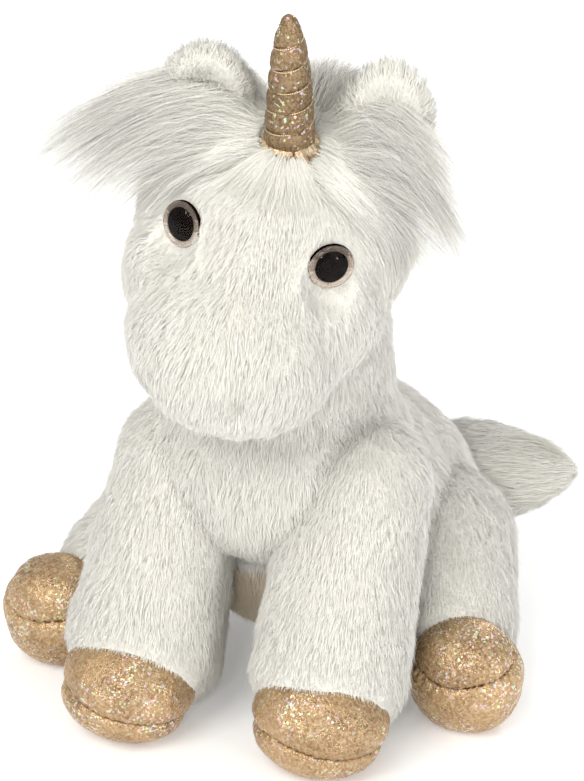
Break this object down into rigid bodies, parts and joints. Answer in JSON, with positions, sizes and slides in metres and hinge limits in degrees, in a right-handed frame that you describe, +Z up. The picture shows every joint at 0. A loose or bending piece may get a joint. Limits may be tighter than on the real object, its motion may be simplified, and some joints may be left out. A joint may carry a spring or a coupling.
{
  "type": "plush unicorn",
  "caption": "Sitting plush unicorn with long-pile forelock and tail, foil-fabric hooves and spiral-wound horn; limp joints at neck, ears, horn, legs and tail.",
  "frame": {"origin": "on the surface the toy sits on, under the middle of its bounding box", "axes": "+Z up, the toy faces -Y, its left side is +X"},
  "size_m": [0.2294, 0.22, 0.3099],
  "materials": {
    "fur": "short plush pile, about 9 mm, ivory white",
    "long_fur": "long silky pile, 30 to 60 mm, ivory white",
    "ear_plush": "short soft plush",
    "gold_foil": "fine woven fabric printed with gold foil glitter that shows rainbow flecks",
    "gold_thread": "metallised cord",
    "stuffing": "polyester fibre filling",
    "pellet_cloth": "tight woven bag of plastic pellets",
    "eye_clear": "clear acrylic dome",
    "eye_iris": "champagne metallic flake paint behind the dome",
    "eye_black": "black",
    "hard_plastic": "moulded washer"
  },
  "bodies": {
    "torso": {"torso_side_left": "fur", "torso_side_right": "fur", "torso_belly": "fur", "torso_seat": "fur", "torso_filling": "stuffing", "pellet_bag": "pellet_cloth"},
    "neck": {"neck_cover": "fur", "neck_filling": "stuffing"},
    "head": {"head_side_left": "fur", "head_side_right": "fur", "head_gusset": "fur", "head_filling": "stuffing", "forelock_left": "long_fur", "forelock_right": "long_fur", "crown_tuft": "long_fur", "mane": "long_fur", "horn_collar": "gold_foil", "eye_left_lens": "eye_clear", "eye_left_iris": "eye_iris", "eye_left_pupil": "eye_black", "eye_left_shank": "eye_black", "eye_left_washer": "hard_plastic", "eye_right_lens": "eye_clear", "eye_right_iris": "eye_iris", "eye_right_pupil": "eye_black", "eye_right_shank": "eye_black", "eye_right_washer": "hard_plastic"},
    "ear_left": {"ear_left_back": "fur", "ear_left_lining": "ear_plush"},
    "ear_right": {"ear_right_back": "fur", "ear_right_lining": "ear_plush"},
    "horn": {"horn_cover": "gold_foil", "horn_filling": "stuffing", "horn_thread": "gold_thread"},
    "front_leg_left": {"front_leg_left_cover": "fur", "front_leg_left_hoof_upper": "gold_foil", "front_leg_left_hoof_sole": "gold_foil", "front_leg_left_filling": "stuffing"},
    "front_leg_right": {"front_leg_right_cover": "fur", "front_leg_right_hoof_upper": "gold_foil", "front_leg_right_hoof_sole": "gold_foil", "front_leg_right_filling": "stuffing"},
    "hind_leg_left": {"hind_leg_left_cover": "fur", "hind_leg_left_hoof_upper": "gold_foil", "hind_leg_left_hoof_sole": "gold_foil", "hind_leg_left_filling": "stuffing"},
    "hind_leg_right": {"hind_leg_right_cover": "fur", "hind_leg_right_hoof_upper": "gold_foil", "hind_leg_right_hoof_sole": "gold_foil", "hind_leg_right_filling": "stuffing"},
    "tail": {"tail_cover": "long_fur", "tail_filling": "stuffing"}
  },
  "joints": [
    {"name": "neck_turn", "type": "hinge", "parent": "torso", "child": "neck", "pos_m": [0.00935, -0.02446, 0.142], "axis": [0, 0, 1], "range_deg": [-25, 25], "stiffness_Nm_per_rad": 0.35},
    {"name": "head_nod", "type": "hinge", "parent": "neck", "child": "head", "pos_m": [0.00935, -0.02446, 0.184], "axis": [0.9649, 0.1356, -0.2249], "range_deg": [-16, 14], "stiffness_Nm_per_rad": 0.6},
    {"name": "ear_left_fold", "type": "hinge", "parent": "head", "child": "ear_left", "pos_m": [0.05527, -0.03473, 0.24462], "axis": [0.9899, 0.1226, -0.0706], "range_deg": [-22, 22], "stiffness_Nm_per_rad": 0.02},
    {"name": "ear_right_fold", "type": "hinge", "parent": "head", "child": "ear_right", "pos_m": [-0.01468, -0.04435, 0.25888], "axis": [0.9226, 0.1444, -0.3576], "range_deg": [-22, 22], "stiffness_Nm_per_rad": 0.02},
    {"name": "horn_wobble", "type": "hinge", "parent": "head", "child": "horn", "pos_m": [0.02428, -0.05462, 0.25533], "axis": [0.9649, 0.1356, -0.2249], "range_deg": [-8, 8], "stiffness_Nm_per_rad": 0.04},
    {"name": "front_leg_left_swing", "type": "hinge", "parent": "torso", "child": "front_leg_left", "pos_m": [0.04735, -0.03446, 0.108], "axis": [0.9989, -0.0476, 0], "range_deg": [-35, 5], "stiffness_Nm_per_rad": 0.3},
    {"name": "front_leg_right_swing", "type": "hinge", "parent": "torso", "child": "front_leg_right", "pos_m": [-0.03065, -0.03446, 0.106], "axis": [0.9876, -0.1571, 0], "range_deg": [-35, 5], "stiffness_Nm_per_rad": 0.3},
    {"name": "hind_leg_left_swing", "type": "hinge", "parent": "torso", "child": "hind_leg_left", "pos_m": [0.06035, 0.02354, 0.052], "axis": [0.8545, 0.5194, 0], "range_deg": [-20, 8], "stiffness_Nm_per_rad": 0.3},
    {"name": "hind_leg_right_swing", "type": "hinge", "parent": "torso", "child": "hind_leg_right", "pos_m": [-0.04565, 0.02354, 0.052], "axis": [0.8064, -0.5914, 0], "range_deg": [-20, 8], "stiffness_Nm_per_rad": 0.3},
    {"name": "tail_swing", "type": "hinge", "parent": "torso", "child": "tail", "pos_m": [0.02235, 0.08254, 0.052], "axis": [0, 0, 1], "range_deg": [-8, 45], "stiffness_Nm_per_rad": 0.03}
  ]
}
